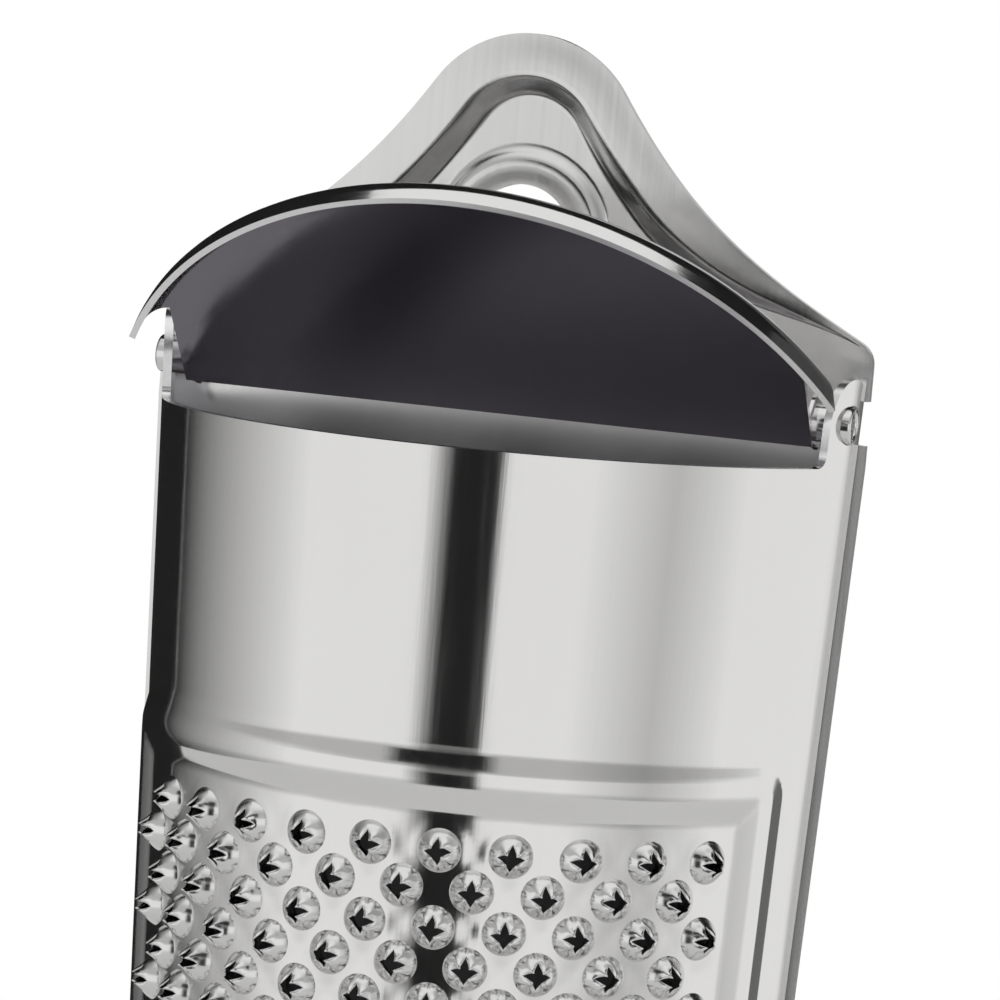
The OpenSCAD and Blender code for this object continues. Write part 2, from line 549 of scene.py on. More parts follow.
@dataclass(frozen=True)
class Layout:
    """Driving sizes shared by the pieces, in millimetres."""

    hinge_y: float
    hinge_z: float
    body_h: float = 130.0
    r_top: float = 25.2
    r_bottom: float = 20.2
    axis_back: float = 4.4
    shell_t: float = 0.6
    plate_t: float = 0.7
    lid_t: float = 0.45
    lid_neck: float = 22.3
    lid_open: float = 48.0
    ear_r: float = 2.5
    ear_hole_r: float = 1.35
    store_floor: float = 111.6

    @classmethod
    def from_frame(cls) -> "Layout":
        """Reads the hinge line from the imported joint."""
        place = frame["joints"][0]["pos_m"]
        return cls(hinge_y=place[1] / MM, hinge_z=place[2] / MM)

    @property
    def plate_front(self) -> float:
        """Y of the back plate's front face."""
        return -self.plate_t / 2

    @property
    def opened(self) -> Matrix:
        """Turn of the lid about the hinge line.

        Returns:
            The transform in millimetres from closed to the place at rest.
        """
        pivot = Vector((0.0, self.hinge_y, self.hinge_z))
        swing = Matrix.Rotation(-math.radians(self.lid_open), 4, "X")
        return Matrix.Translation(pivot) @ swing @ Matrix.Translation(-pivot)

    def radius(self, z: float) -> float:
        """Outer radius of the shell at a height."""
        return mixed(self.r_bottom, self.r_top, z / self.body_h)

    def end_angle(self, z: float) -> float:
        """Angle from the front at which the shell meets the back plate."""
        return math.acos((self.axis_back - self.plate_front) / self.radius(z))

    def half_width(self, z: float) -> float:
        """Half width of the shell at the back plate."""
        return self.radius(z) * math.sin(self.end_angle(z))

    def on_shell(self, angle: float, z: float, out: float = 0.0) -> Vector:
        """Point on the shell's outer face.

        Args:
            angle: in radians from the front, positive to the right.
            z: height.
            out: distance in front of the face.

        Returns:
            The point.
        """
        r = self.radius(z) + out
        return Vector((r * math.sin(angle), self.axis_back - r * math.cos(angle), z))

    def ear_point(self, side: Side, y: float, z: float) -> Vector:
        """Point of the shell's outer face above a place in the Y-Z plane.

        Args:
            side: which side of the grater.
            y: place along Y.
            z: height.

        Returns:
            The point.
        """
        r = self.radius(z)
        reach = self.axis_back - y
        return Vector((side.value * math.sqrt(r * r - reach * reach), y, z))


@dataclass
class GraterShell:
    """Tapered half-round sheet with ears, a raised frame and the punched teeth.

    Sizes are in millimetres and angles in degrees.
    """

    layout: Layout
    finishes: Finishes
    # The sheet's mesh and the frame; its crest runs between shares of its width.
    columns: int = 260
    row_step: float = 0.42
    frame_drop: float = 19.6
    frame_w: float = 4.3
    frame_rise: float = 0.5
    frame_angle: float = 69.0
    frame_corner: float = 3.0
    crest_start: float = 0.4
    crest_end: float = 0.62
    panel_sink: float = 0.05
    # The ears that carry the hinge.
    ear_up: float = 3.1
    ear_fillet: float = 0.8
    ear_rings: tuple[float, ...] = (0.0, 0.08, 0.35, 0.7, 1.0)
    ear_edge_steps: int = 6
    ear_cap_steps: int = 25
    ear_back_steps: int = 9
    ear_fillet_steps: int = 7
    # The rows of teeth; every other row is shifted by a share of a column.
    tooth_rows: int = 35
    tooth_columns: int = 10
    tooth_step: float = 2.58
    tooth_angle: float = 11.2
    tooth_drop: float = 26.5
    tooth_shift: float = 0.25
    # One tooth: swollen sheet, collar behind, domed flank, waist and lip.
    foot_r: float = 1.5
    swell_w: float = 0.7
    swell_h: float = 0.03
    collar_r: float = 1.54
    collar_back: float = 0.07
    collar_front: float = 0.04
    dome_r: float = 1.02
    dome_h: float = 0.6
    dome_steps: tuple[tuple[float, float], ...] = (
        (1.0, 0.0),
        (0.95, 0.08),
        (0.85, 0.22),
        (0.68, 0.42),
        (0.45, 0.64),
        (0.22, 0.84),
        (0.0, 1.0),
    )
    waist: tuple[float, float] = (0.5, 0.58)
    lip_w: float = 0.06
    lip_drop: float = 0.03
    # Its open throat and the ragged star of slits and tips.
    throat_r: float = 0.95
    throat_bend: float = 0.5
    throat_sink: float = 0.1
    pierced: float = 0.25
    slit_r: float = 0.9
    slit_h: float = 0.68
    tip_r: float = 0.4
    tip_h: float = 1.4
    tip_curve: float = 1.2
    # Small differences between teeth: twist in radians, lean, and height as a factor.
    twist: float = 0.12
    twist_span: tuple[float, float] = (0.4, 1.0)
    lean: float = 0.06
    lean_span: tuple[float, float] = (0.2, 1.4)
    tall: tuple[float, float] = (0.9, 1.05)
    around: int = 32
    seed: int = 7

    @property
    def frame_top(self) -> float:
        """Height of the frame's upper outer edge."""
        return self.layout.body_h - self.frame_drop

    @property
    def frame_bottom(self) -> float:
        """Height of the frame's lower outer edge."""
        last = self.tooth_z(self.tooth_rows - 1)
        return last - (self.frame_top - self.tooth_z(0))

    def tooth_z(self, row: int) -> float:
        """Height of a row of teeth."""
        return self.layout.body_h - self.tooth_drop - row * self.tooth_step

    def tooth_turn(self, row: int, column: int) -> float:
        """Angle of a tooth from the front, in radians."""
        shift = self.tooth_shift if row % 2 == 0 else -self.tooth_shift
        return math.radians((column - (self.tooth_columns - 1) / 2 + shift) * self.tooth_angle)

    def lift(self, angle: float, z: float) -> float:
        """Height of the pressed frame over the plain sheet.

        Args:
            angle: in radians from the front.
            z: height on the shell.

        Returns:
            Millimetres outwards; the toothed panel lies a little below the plain sheet.
        """
        mid_r = self.layout.radius(self.layout.body_h / 2)
        half_z = (self.frame_top - self.frame_bottom) / 2
        across = abs(angle) * mid_r - math.radians(self.frame_angle) * mid_r + self.frame_corner
        along = abs(z - self.frame_bottom - half_z) - half_z + self.frame_corner
        outside = math.hypot(max(across, 0.0), max(along, 0.0)) + min(max(across, along), 0.0)
        depth = self.frame_corner - outside
        fall = ramp(depth, self.frame_w * self.crest_end, self.frame_w)
        rise = ramp(depth, 0.0, self.frame_w * self.crest_start)
        return self.frame_rise * (rise - fall) - self.panel_sink * fall

    def tooth_gap(self, angle: float, z: float) -> float:
        """Distance of a place on the sheet from the middle of the nearest tooth.

        Args:
            angle: in radians from the front.
            z: height on the shell.

        Returns:
            Millimetres along the sheet.
        """
        row = round((self.tooth_z(0) - z) / self.tooth_step)
        gap = self.layout.body_h
        for near in (row - 1, row, row + 1):
            if not 0 <= near < self.tooth_rows:
                continue
            column = (angle - self.tooth_turn(near, 0)) / math.radians(self.tooth_angle)
            column = min(max(round(column), 0), self.tooth_columns - 1)
            arc = (angle - self.tooth_turn(near, column)) * self.layout.radius(z)
            gap = min(gap, math.hypot(arc, z - self.tooth_z(near)))
        return gap

    def drawn(self, angle: float, z: float) -> float:
        """Height of the sheet, pressed frame and the swell round the teeth together."""
        swell = 1 - smooth(self.tooth_gap(angle, z), self.foot_r, self.foot_r + self.swell_w)
        return self.lift(angle, z) + self.swell_h * swell

    def sheet(self) -> bpy.types.Object:
        """Makes the outer face of the pierced sheet with its ears.

        Returns:
            The sheet; its thickness is added inside.
        """
        layout = self.layout
        draft = MeshDraft()
        heights = spread(0.0, layout.body_h, round(layout.body_h / self.row_step))
        shares = spread(-1.0, 1.0, self.columns)
        turns = [[share * layout.end_angle(z) for share in shares] for z in heights]
        loops = [
            draft.loop(layout.on_shell(a, z, self.drawn(a, z)) for a in row)
            for z, row in zip(heights, turns)
        ]
        for j in range(len(heights) - 1):
            z = (heights[j] + heights[j + 1]) / 2
            low, high = loops[j], loops[j + 1]
            for i in range(self.columns - 1):
                angle = (turns[j][i] + turns[j + 1][i + 1]) / 2
                if self.tooth_gap(angle, z) > self.throat_r + self.pierced:
                    draft.faces.append((low[i], low[i + 1], high[i + 1], high[i]))
        top = [draft.points[i].copy() for i in loops[-1]]
        for side in Side:
            self.ear(draft, side, top)
        axis = layout.axis_back
        return draft.build("grater_shell_sheet", lambda p: Vector((p.x, p.y - axis, 0.0)))

    def ear_outline(self, row: Sequence[Vector], corner: int) -> list[tuple[float, float]]:
        """Closed outline of an ear in the Y-Z plane.

        Args:
            row: points of the sheet's top edge, from the front to the back plate.
            corner: number of the point under the ear's front edge.

        Returns:
            Places along the top edge, up the front, over the cap and down the back.
        """
        layout = self.layout
        front = row[corner].y
        flat = [(p.y, layout.body_h) for p in reversed(row[corner:])]
        rise = spread(layout.body_h + self.ear_fillet, layout.hinge_z, self.ear_edge_steps)
        ear_r = layout.hinge_y - front
        end = math.acos((layout.plate_front - layout.hinge_y) / ear_r)
        cap = [
            (layout.hinge_y + ear_r * math.cos(t), layout.hinge_z + self.ear_up * math.sin(t))
            for t in spread(math.pi, end, self.ear_cap_steps)[1:]
        ]
        fall = spread(cap[-1][1], layout.body_h, self.ear_back_steps)[1:-1]
        return flat + [(front, z) for z in rise] + cap + [(layout.plate_front, z) for z in fall]

    def ear(self, draft: MeshDraft, side: Side, top: Sequence[Vector]) -> None:
        """Adds one ear over the top edge, with a fillet in front of it.

        Args:
            draft: the sheet's draft.
            side: which side.
            top: the points of the sheet's top edge, left to right.
        """
        layout = self.layout
        row = list(top) if side is Side.RIGHT else list(reversed(top))
        row = row[self.columns // 2:]
        wanted = layout.hinge_y - layout.ear_r
        corner = min(range(len(row)), key=lambda i: abs(row[i].y - wanted))
        front = row[corner].y
        start = next(i for i, p in enumerate(row) if p.y >= front - self.ear_fillet)
        bow = [
            (
                mixed(front, row[start].y, 1 - math.sin(t)),
                layout.body_h + self.ear_fillet * (1 - math.cos(t)),
            )
            for t in spread(0.0, math.pi / 2, self.ear_fillet_steps)[1:]
        ]
        hem = [(p.y, layout.body_h) for p in reversed(row[start:corner + 1])]
        fillet = draft.loop(layout.ear_point(side, y, z) for y, z in hem + bow)
        draft.fan(fillet[0], fillet[1:])
        outline = self.ear_outline(row, corner)
        rings = []
        for share in self.ear_rings:
            ring = []
            for y, z in outline:
                reach = math.hypot(y - layout.hinge_y, z - layout.hinge_z)
                t = mixed(layout.ear_hole_r / reach, 1.0, share)
                place = (mixed(layout.hinge_y, y, t), mixed(layout.hinge_z, z, t))
                ring.append(layout.ear_point(side, *place))
            rings.append(ring)
        draft.rows(rings, closed=True)

    def crown_outline(self, turn: float) -> tuple[float, float]:
        """Radius and height of a tooth's ragged crown.

        Args:
            turn: angle round the tooth from a slit, in radians.

        Returns:
            Radius of the star-shaped hole and height of the crown there.
        """
        quarter = math.pi / 2
        half = math.pi / 4
        a = turn % quarter
        a = min(a, quarter - a)
        tip = Vector((math.cos(half), math.sin(half))) * self.tip_r
        slit = Vector((self.slit_r, 0.0))
        edge = tip - slit
        ray = Vector((math.cos(a), math.sin(a)))
        radius = (slit.x * edge.y - slit.y * edge.x) / (ray.x * edge.y - ray.y * edge.x)
        return radius, mixed(self.slit_h, self.tip_h, (a / half) ** self.tip_curve)

    def tooth_profile(self, tall: float) -> list[list[tuple[float, float]]]:
        """Half sections of a tooth all the way round.

        Args:
            tall: factor on the height of the crown.

        Returns:
            For each direction, radius and height from the collar behind the sheet over the
            flank and the ragged crown down into the throat.
        """
        behind = -self.layout.shell_t - self.collar_back
        collar = [(self.collar_r, behind), (self.collar_r, -self.collar_front)]
        dome = [(mixed(self.dome_r, self.foot_r, r), h * self.dome_h) for r, h in self.dome_steps]
        waist_r, waist_h = self.waist
        profile = []
        for k in range(self.around):
            hole, crown = self.crown_outline(2 * math.pi * k / self.around)
            crown *= tall
            lip = hole + self.lip_w
            middle = (mixed(self.dome_r, lip, waist_r), mixed(self.dome_h, crown, waist_h))
            crest = [middle, (lip, crown), (hole, crown - self.lip_drop)]
            bend = (mixed(hole, self.throat_r, self.throat_bend), crown * self.throat_bend)
            throat = [bend, (self.throat_r, -self.throat_sink), (self.throat_r, behind)]
            profile.append(collar + dome + crest + throat)
        return profile

    def tooth(self, draft: MeshDraft, rng: random.Random, angle: float, z: float) -> None:
        """Adds one punched tooth.

        Args:
            draft: the draft of all teeth.
            rng: seeded source of small differences.
            angle: place round the shell, in radians.
            z: height.
        """
        layout = self.layout
        origin = layout.on_shell(angle, z, self.lift(angle, z))
        up = (layout.on_shell(angle, z + 1.0) - layout.on_shell(angle, z)).normalized()
        across = Vector((math.cos(angle), math.sin(angle), 0.0))
        out = across.cross(up)
        twist = rng.uniform(-self.twist, self.twist)
        lean = Vector((rng.uniform(-self.lean, self.lean), rng.uniform(-self.lean, self.lean)))
        profile = self.tooth_profile(rng.uniform(*self.tall))
        rings = []
        for level in zip(*profile):
            ring = []
            for k, (r, h) in enumerate(level):
                turn = 2 * math.pi * k / self.around + twist * smooth(h, *self.twist_span)
                slide = lean * smooth(h, *self.lean_span)
                side = r * math.cos(turn) + slide.x
                sag = side * side / (2 * layout.radius(z))
                place = across * side + up * (r * math.sin(turn) + slide.y) + out * (h - sag)
                ring.append(origin + place)
            rings.append(ring)
        loops = draft.rows(rings, closed=True)
        draft.bridge(loops[-1], loops[0], closed=True)

    def teeth(self) -> bpy.types.Object:
        """Makes all teeth as one piece.

        Returns:
            The teeth.
        """
        draft = MeshDraft()
        rng = random.Random(self.seed)
        for row in range(self.tooth_rows):
            for column in range(self.tooth_columns):
                self.tooth(draft, rng, self.tooth_turn(row, column), self.tooth_z(row))
        return draft.build("grating_crowns")

    def build(self) -> None:
        """Builds and dresses the sheet and its teeth; the inner face gets painted light above the
        store and painted shade below it.
        """
        looks = self.finishes
        sheet = self.sheet()
        dress(sheet, looks.shell, looks.cut, looks.inside, looks.chamber)
        thicken(sheet, self.layout.shell_t)
        # Inner faces below the store take the dark steel: painted shade.
        for face in sheet.data.polygons:
            deep = face.center.z < self.layout.store_floor * MM
            if face.material_index == Layer.BEHIND and deep:
                face.material_index = Layer.CHAMBER
        tie(sheet, Body.GRATER, "grater_shell")
        teeth = self.teeth()
        dress(teeth, looks.teeth)
        tie(teeth, Body.GRATER, "grating_teeth")


@dataclass
class BackPlate:
    """Flat back with the pressed bell-shaped hanger.

    Sizes are in millimetres and turns in radians.
    """

    layout: Layout
    finishes: Finishes
    # The flat part and the notches beside the hinge.
    margin: float = 0.55
    notch_in: float = 3.2
    notch_up: float = 1.5
    notch_ease: float = 0.25
    # The hanger's outline above the hinge line.
    hanger_h: float = 24.3
    hanger_out: float = 0.4
    top_r: float = 8.0
    top_turn: float = math.radians(34)
    flank_pull: float = 9.0
    shoulder_up: float = 1.6
    shoulder_top: float = 4.0
    shoulder_r: float = 1.7
    shoulder_turn: float = math.radians(62)
    # The raised rim along the outline, which dies away towards the shoulders.
    bead_up: float = 3.2
    bead_fade: float = 5.0
    bead_rise: float = 1.2
    bead_edge: float = 0.97
    bead_crest: float = 2.2
    bead_flat: float = 0.7
    bead_foot: float = 4.1
    bead_wide: float = 11.0
    bead_end: float = 25.0
    bead_least: float = 0.06
    bead_steps: tuple[float, ...] = (
        4.15, 4.05, 3.8, 3.5, 3.2, 2.95, 2.85, 2.5, 2.1, 1.6, 1.0, 0.5, 0.2, 0.0
    )
    # The hanging hole and the raised ring round it.
    hole_r: float = 3.6
    hole_up: float = 10.4
    ring_r: float = 6.3
    ring_rise: float = 0.6
    ring_slope: float = 1.0
    ring_lip: float = 0.88
    ring_lip_w: float = 1.5
    ring_steps: tuple[float, ...] = (
        0.0, 0.12, 0.4, 0.8, 1.2, 1.6, 1.9, 2.2, 2.5, 2.72, 2.9
    )
    # The flat panel between ring and rim, and the steps of the mesh.
    panel_in: float = 4.4
    panel_rows: int = 12
    arch_wide: float = 13.0
    arch_turn: float = math.radians(30)
    side_steps: int = 5
    turn_steps: int = 9
    flank_steps: int = 33
    top_steps: int = 17
    base_steps: int = 61
    lower_steps: int = 27

    @property
    def hole(self) -> Vector:
        """Middle of the hanging hole in the X-Z plane."""
        return Vector((0.0, self.layout.hinge_z + self.hole_up))

    @property
    def base_z(self) -> float:
        """Height of the hanger's lower edge."""
        return self.layout.hinge_z + self.shoulder_up

    def bell(self) -> list[Vector]:
        """Outline of the hanger in the X-Z plane.

        Returns:
            Points from the right shoulder over the top to the left shoulder.
        """
        up = self.layout.hinge_z
        wide = self.layout.half_width(up) + self.hanger_out
        r = self.shoulder_r
        heights = spread(self.shoulder_up, self.shoulder_top, self.side_steps)
        side = [Vector((wide, up + z)) for z in heights]
        turn = [
            Vector((wide - r + r * math.cos(t), up + self.shoulder_top + r * math.sin(t)))
            for t in spread(0.0, self.shoulder_turn, self.turn_steps)[1:]
        ]
        start = turn[-1]
        slant = Vector((-math.sin(self.shoulder_turn), math.cos(self.shoulder_turn)))
        join = self.top_turn
        middle = Vector((0.0, up + self.hanger_h - self.top_r))
        end = middle + Vector((math.cos(join), math.sin(join))) * self.top_r
        lean = Vector((math.sin(join), -math.cos(join)))
        first = start + slant * self.flank_pull
        second = end + lean * self.flank_pull
        flank = [
            start * (1 - t) ** 3
            + first * (3 * t * (1 - t) ** 2)
            + second * (3 * t * t * (1 - t))
            + end * t ** 3
            for t in spread(0.0, 1.0, self.flank_steps)[1:]
        ]
        top = [
            middle + Vector((math.cos(t), math.sin(t))) * self.top_r
            for t in spread(join, math.pi / 2, self.top_steps)[1:]
        ]
        right = side + turn + flank + top
        return right + [Vector((-p.x, p.y)) for p in reversed(right[:-1])]

    def lift(self, place: Vector, depth: float, share: float) -> float:
        """Height of the pressed relief in front of the plate.

        Args:
            place: point in the X-Z plane.
            depth: nominal distance from the hanger's outline.
            share: how much of the bead is left there.

        Returns:
            Millimetres towards the front.
        """
        up = place.y - self.layout.hinge_z
        fade = smooth(up, self.bead_up, self.bead_up + self.bead_fade)
        crest = mixed(self.bead_edge, 1.0, smooth(depth, 0.0, self.bead_crest)) * share
        fall = ramp(depth, self.bead_crest + self.bead_flat, self.bead_foot)
        r = (place - self.hole).length
        ring = self.ring_rise * (1 - smooth(r, self.ring_r - self.ring_slope, self.ring_r))
        ring *= mixed(self.ring_lip, 1.0, smooth(r, self.hole_r, self.hole_r + self.ring_lip_w))
        return self.bead_rise * crest * (1 - fall) * fade + ring * fall

    def raised(self, place: Vector, height: float) -> Vector:
        """Point of the front face above a place in the X-Z plane."""
        return Vector((place.x, self.layout.plate_front - height, place.y))

    @staticmethod
    def inset(outline: Sequence[Vector], i: int, depth: float) -> Vector:
        """Point inside the hanger's outline.

        Args:
            outline: closed outline, with the inside on its left.
            i: number of the outline point.
            depth: distance from the outline.

        Returns:
            The point.
        """
        along = (outline[(i + 1) % len(outline)] - outline[i - 1]).normalized()
        inward = Vector((-along.y, along.x))
        return outline[i] + inward * depth

    def ring_turns(self, panel: Sequence[Vector], arch: Sequence[bool]) -> list[float]:
        """Directions round the hanging hole that belong to the points of the panel's outline.

        Args:
            panel: outline of the flat panel, over the top and back along the base.
            arch: for each point of the hanger's outline, if it lies on the upper arch.

        Returns:
            Angles in radians that rise along the outline, so that no faces fold over.
        """
        first = arch.index(True)
        last = len(arch) - 1 - arch[::-1].index(True)
        turns = [0.0] * len(panel)
        start = math.atan2(*(panel[first] - self.hole).yx)
        scale = (math.pi / 2 + self.arch_turn) / (math.pi / 2 - start)
        for i in range(first, last + 1):
            side = panel[i] - self.hole
            turn = math.atan2(abs(side.x), side.y) * (1 if side.x > 0 else -1)
            turns[i] = math.pi / 2 - turn * scale
        rest = [i % len(panel) for i in range(last, len(panel) + first + 1)]
        gaps = [(panel[j] - panel[i]).length for i, j in zip(rest, rest[1:])]
        low, high = math.pi + self.arch_turn, 2 * math.pi - self.arch_turn
        travel = 0.0
        for i, gap in zip(rest[1:-1], gaps):
            travel += gap
            turns[i] = mixed(low, high, travel / sum(gaps))
        return turns

    def hanger(self, bell: Sequence[Vector], base: Sequence[Vector]) -> list[list[Vector]]:
        """Rings of the hanger, from the edge of the hole out to the outline.

        Args:
            bell: outline from the right shoulder over the top to the left.
            base: the lower edge from left to right.

        Returns:
            Closed rings of the same length on the front face.
        """
        outline = [*bell, *base[1:-1]]
        count = range(len(outline))
        shares = [1 - smooth(abs(p.x), self.bead_wide, self.bead_end) for p in bell]
        shares += [0.0] * (len(base) - 2)
        narrow = [mixed(self.bead_least, 1.0, share) for share in shares]
        panel = [self.inset(outline, i, self.panel_in * narrow[i]) for i in count]
        turns = self.ring_turns(panel, [abs(p.x) <= self.arch_wide for p in bell])
        rays = [Vector((math.cos(turn), math.sin(turn))) for turn in turns]
        reaches = [self.hole_r + step for step in self.ring_steps]
        rings = [[self.hole + ray * reach for ray in rays] for reach in reaches]
        verge = rings[-1]
        for share in spread(0.0, 1.0, self.panel_rows)[1:]:
            rings.append([a.lerp(q, share) for a, q in zip(verge, panel)])
        solid = [
            [self.raised(q, self.lift(q, self.panel_in, 0.0)) for q in ring] for ring in rings
        ]
        for step in self.bead_steps:
            band = [self.inset(outline, i, step * narrow[i]) for i in count]
            solid.append([self.raised(q, self.lift(q, step, s)) for q, s in zip(band, shares)])
        return solid

    def lower(self, base: Sequence[Vector]) -> list[list[Vector]]:
        """Rows of the flat part, from the hanger's lower edge past the notches to the bottom.

        Args:
            base: the hanger's lower edge from left to right.

        Returns:
            Rows of the same length on the front face.
        """
        layout = self.layout
        wide = base[-1].x
        top = layout.half_width(layout.body_h)
        neck = top - self.notch_in
        sill = layout.body_h + self.notch_up
        levels = [(self.base_z, wide), (self.base_z - self.notch_ease, neck)]
        levels += [(sill + self.notch_ease, neck), (sill, top + self.margin)]
        for z in spread(layout.body_h, 0.0, self.lower_steps):
            levels.append((z, layout.half_width(z) + self.margin))
        return [[self.raised(Vector((q.x * w / wide, z)), 0.0) for q in base] for z, w in levels]

    def plate(self) -> bpy.types.Object:
        """Makes the plate's front face.

        Returns:
            The plate; its thickness is added behind.
        """
        draft = MeshDraft()
        bell = self.bell()
        wide = bell[0].x
        base = [Vector((x, self.base_z)) for x in spread(-wide, wide, self.base_steps)]
        draft.rows(self.hanger(bell, base), closed=True)
        draft.rows(self.lower(base))
        return draft.build("back_plate_sheet", lambda p: Vector((0.0, -1.0, 0.0)))

    def build(self) -> None:
        """Builds and dresses the plate; below the store its inner face gets painted shade."""
        layout = self.layout
        looks = self.finishes
        plate = self.plate()
        dress(plate, looks.plate, looks.cut, looks.plate, looks.chamber)
        press(plate, layout.plate_t)
        # The plate's front face inside the shell below the store takes the dark steel: painted
        # shade.
        for face in plate.data.polygons:
            covered = layout.half_width(face.center.z / MM) - layout.shell_t
            deep = face.center.z < layout.store_floor * MM
            inside = deep and abs(face.center.x) < covered * MM
            if face.material_index == Layer.FRONT and inside:
                face.material_index = Layer.CHAMBER
        tie(plate, Body.GRATER, "back_plate")


@dataclass
class Lid:
    """D-shaped cap with a rolled edge, a skirt, and two lugs that carry the rivets.

    Sizes are in millimetres, with the lid closed.
    """

    layout: Layout
    finishes: Finishes
    skirt_h: float = 2.45
    gap: float = 0.8
    radius: float = 27.5
    back: float = 0.3
    notch_r: float = 6.8
    bend_r: float = 1.5
    # The cap's mesh; upward weighs its top against the skirt in telling the outer face.
    hub: float = 0.05
    upward: float = 60.0
    columns: int = 181
    cap_rings: int = 14
    neck_steps: int = 13
    rear_steps: int = 61
    bend_steps: int = 8
    skirt_steps: int = 7
    # The lugs; their flat faces keep support rings near the edge.
    lug_r: float = 2.0
    lug_ease: float = 0.1
    lug_low: float = 0.3
    lug_rings: tuple[float, ...] = (0.02, 0.88, 0.91)
    lug_arc_steps: int = 33
    lug_side_steps: int = 9

    @property
    def top(self) -> float:
        """Height of the lid's upper face when closed."""
        return self.layout.body_h + self.gap + self.layout.lid_t

    @property
    def low(self) -> float:
        """Height of the skirt's lower edge when closed."""
        return self.top - self.skirt_h

    def end_y(self, z: float) -> float:
        """Y at which the lid stops beside the ears at a height."""
        drop = z - self.layout.hinge_z
        return self.layout.hinge_y - math.sqrt(self.notch_r ** 2 - drop ** 2)

    def rim_row(self, r: float, z: float) -> list[Vector]:
        """Row of points on the rolled edge or the skirt.

        Args:
            r: distance from the shell's axis.
            z: height when closed.

        Returns:
            Points from the left end to the right end.
        """
        axis = self.layout.axis_back
        end = math.acos((axis - self.end_y(z)) / r)
        turns = [share * end for share in spread(-1.0, 1.0, self.columns)]
        return [Vector((r * math.sin(t), axis - r * math.cos(t), z)) for t in turns]

    def rear(self) -> list[Vector]:
        """Points of the neck sides and the straight rear edge.

        Returns:
            Points from right to left.
        """
        neck = self.layout.lid_neck
        y_rear = self.layout.hinge_y + self.back
        sides = spread(self.end_y(self.top), y_rear, self.neck_steps)
        right = [Vector((neck, y, self.top)) for y in sides]
        across = spread(neck, -neck, self.rear_steps)[1:-1]
        left = [Vector((-neck, y, self.top)) for y in reversed(sides)]
        return right + [Vector((x, y_rear, self.top)) for x in across] + left

    def cap(self) -> bpy.types.Object:
        """Makes the outer face of the cap.

        Returns:
            The cap; its thickness is added inside.
        """
        layout = self.layout
        draft = MeshDraft()
        flat_r = self.radius - self.bend_r
        edge = self.rim_row(flat_r, self.top)
        outline = edge + self.rear()
        middle = Vector((0.0, layout.hinge_y - self.radius / 3, self.top))
        shares = spread(self.hub, 1.0, self.cap_rings)
        loops = draft.rows([[middle.lerp(p, t) for p in outline] for t in shares], closed=True)
        hub = draft.loop([middle])[0]
        draft.fan(hub, loops[0] + loops[0][:1])
        rows = [edge]
        for t in spread(0.0, math.pi / 2, self.bend_steps)[1:]:
            z = self.top - self.bend_r * (1 - math.cos(t))
            rows.append(self.rim_row(flat_r + self.bend_r * math.sin(t), z))
        for z in spread(self.top - self.bend_r, self.low, self.skirt_steps)[1:]:
            rows.append(self.rim_row(self.radius, z))
        draft.rows(rows)
        axis, up = layout.axis_back, self.upward
        return draft.build("lid_cap", lambda p: Vector((p.x, p.y - axis, up)), layout.opened)

    def lug(self, side: Side) -> bpy.types.Object:
        """Makes one upright lug at the side of the neck.

        Args:
            side: which side.

        Returns:
            The lug as a closed slab with eased edges.
        """
        layout = self.layout
        y, z, r = layout.hinge_y, layout.hinge_z, self.lug_r
        thick = layout.lid_t
        low = self.top - thick / 2
        steps = self.lug_side_steps
        arc = spread(0.0, math.pi, self.lug_arc_steps)
        outline = [(y + r * math.cos(t), z + r * math.sin(t)) for t in arc]
        outline += [(y - r, height) for height in spread(z, low, steps)[1:]]
        outline += [(place, low) for place in spread(y - r, y + self.back, steps)[1:]]
        outline += [(y + r, z - r / 3)]
        middle = Vector((y, z - self.lug_low))
        levels = [(share, 0.0) for share in self.lug_rings]
        levels += [(1.0, self.lug_ease), (1.0, thick - self.lug_ease)]
        levels += [(share, thick) for share in reversed(self.lug_rings)]
        rings = []
        for share, inset in levels:
            x = side.value * (layout.lid_neck - inset)
            ring = [(mixed(middle.x, a, share), mixed(middle.y, b, share)) for a, b in outline]
            rings.append([Vector((x, *place)) for place in ring])
        draft = MeshDraft()
        loops = draft.rows(rings, closed=True)
        draft.faces.append(tuple(loops[0]))
        draft.faces.append(tuple(reversed(loops[-1])))
        return draft.build(f"lid_lug_{side.name.lower()}", None, layout.opened)

    def build(self) -> None:
        """Builds and dresses the lid."""
        looks = self.finishes
        cap = self.cap()
        # The cap's underside takes the dark lid steel: painted shade and painted reflection.
        dress(cap, looks.lid, looks.cut, looks.lid_inside_shade)
        thicken(cap, self.layout.lid_t)
        tie(cap, Body.LID, "lid")
        for side in Side:
            lug = self.lug(side)
            dress(lug, looks.lid)
            crease(lug)
            tie(lug, Body.LID, "lid")


